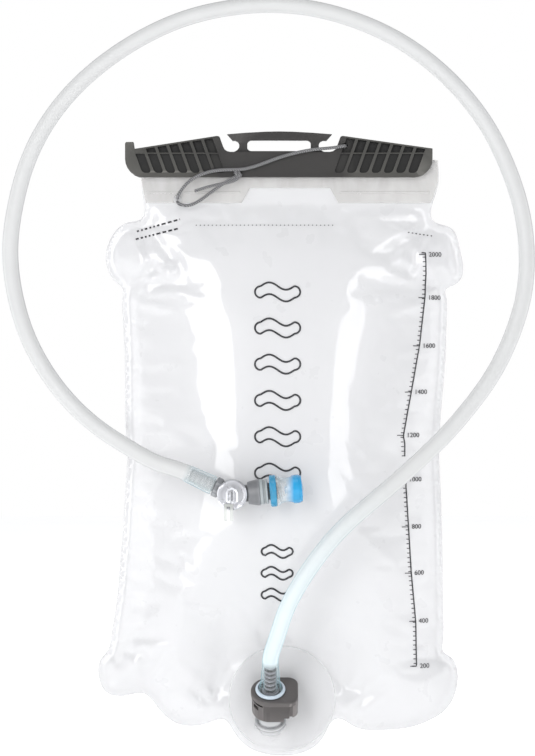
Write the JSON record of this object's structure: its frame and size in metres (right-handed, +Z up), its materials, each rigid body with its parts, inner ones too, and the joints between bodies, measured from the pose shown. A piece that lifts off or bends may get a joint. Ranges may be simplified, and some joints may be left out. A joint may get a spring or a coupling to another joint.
{
  "type": "hydration bladder",
  "caption": "Soft clear water reservoir with a slide-off top closure and hanger, quick-release hose port, drinking hose, rotary shut-off and bite valve.",
  "frame": {"origin": "centre of the hanger slot in the slide closure", "axes": "+Z up as it hangs, +X to the right, the printed front of the bag and the port face -Y"},
  "size_m": [0.3156, 0.0862, 0.4528],
  "materials": {
    "film": "clear glossy TPU film, slightly frosted",
    "rail": "clear stiffener strip",
    "closure_grey": "fine moulded texture",
    "cord": "braided cord",
    "clear_plastic": "clear moulding",
    "seal": "smooth rubber",
    "spring_steel": "drawn wire",
    "coupler_grey": "fine moulded texture",
    "barb_grey": "smooth moulded",
    "collar_pale": "smooth moulded",
    "hose": "clear flexible tube",
    "knob_silver": "satin moulded",
    "silicone_blue": "soft silicone",
    "silicone_clear": "soft clear silicone"
  },
  "bodies": {
    "root": {"front_film": "film", "back_film": "film", "front_mouth_rail": "rail", "rear_mouth_rail": "rail", "port_flange": "clear_plastic", "plug_oring": "seal", "poppet_spring": "spring_steel"},
    "closure": {"slide_closure": "closure_grey", "tether_cord": "cord"},
    "poppet": {"port_poppet": "clear_plastic", "poppet_seal": "seal"},
    "coupler": {"coupler_body": "coupler_grey", "latch_spring": "spring_steel"},
    "latch": {"latch_button": "coupler_grey"},
    "hose_lower": {"coupler_barb": "barb_grey", "swivel_oring": "seal", "hose_collar": "collar_pale", "drink_hose_lower": "hose"},
    "hose_upper": {"drink_hose_upper": "hose"},
    "shutoff": {"shutoff_barb": "barb_grey", "shutoff_body": "coupler_grey", "outlet_cone": "coupler_grey", "outlet_ring": "barb_grey", "outlet_oring": "seal"},
    "knob": {"shutoff_knob": "knob_silver", "knob_tab": "clear_plastic", "shutoff_spool": "barb_grey", "spool_orings": "seal"},
    "bite_valve": {"bite_valve_ring": "silicone_blue", "bite_valve_core": "silicone_blue", "bite_valve_sheath": "silicone_clear"}
  },
  "joints": [
    {"name": "closure_slide", "type": "slide", "parent": "root", "child": "closure", "axis": [-1, 0, 0], "range_m": [0, 0.18], "deforming": ["tether_cord"]},
    {"name": "coupler_unplug", "type": "slide", "parent": "root", "child": "coupler", "axis": [0, -0.6157, 0.788], "range_m": [0, 0.02]},
    {"name": "poppet_lift", "type": "slide", "parent": "root", "child": "poppet", "axis": [0, -0.6157, 0.788], "range_m": [0, 0.0027], "deforming": ["poppet_spring"]},
    {"name": "button_press", "type": "slide", "parent": "coupler", "child": "latch", "axis": [-1, 0, 0], "range_m": [0, 0.0016], "stiffness_N_per_m": 1500, "deforming": ["latch_spring"]},
    {"name": "hose_swivel", "type": "hinge", "parent": "coupler", "child": "hose_lower", "pos_m": [-0.0052, -0.0286, -0.324], "axis": [0, -0.6157, 0.788], "range_deg": [-10, 10]},
    {"name": "hose_swing", "type": "hinge", "parent": "hose_lower", "child": "hose_upper", "pos_m": [-0.0066, -0.02, 0.0826], "axis": [-1, 0, 0], "range_deg": [0, 70]},
    {"name": "mouthpiece_turn", "type": "hinge", "parent": "hose_upper", "child": "shutoff", "pos_m": [-0.0277, -0.044, -0.2076], "axis": [0.9063, 0, -0.4226], "range_deg": [0, 180]},
    {"name": "shutoff_turn", "type": "hinge", "parent": "shutoff", "child": "knob", "pos_m": [-0.0277, -0.044, -0.2076], "axis": [0, -1, 0], "range_deg": [0, 90]},
    {"name": "bite_valve_twist", "type": "hinge", "parent": "shutoff", "child": "bite_valve", "pos_m": [-0.0277, -0.044, -0.2076], "axis": [0.9965, 0, 0.0837], "range_deg": [-90, 90]}
  ],
  "couplings": [
    {"joint": "poppet_lift", "follows": "coupler_unplug", "ratio": 0.135}
  ]
}
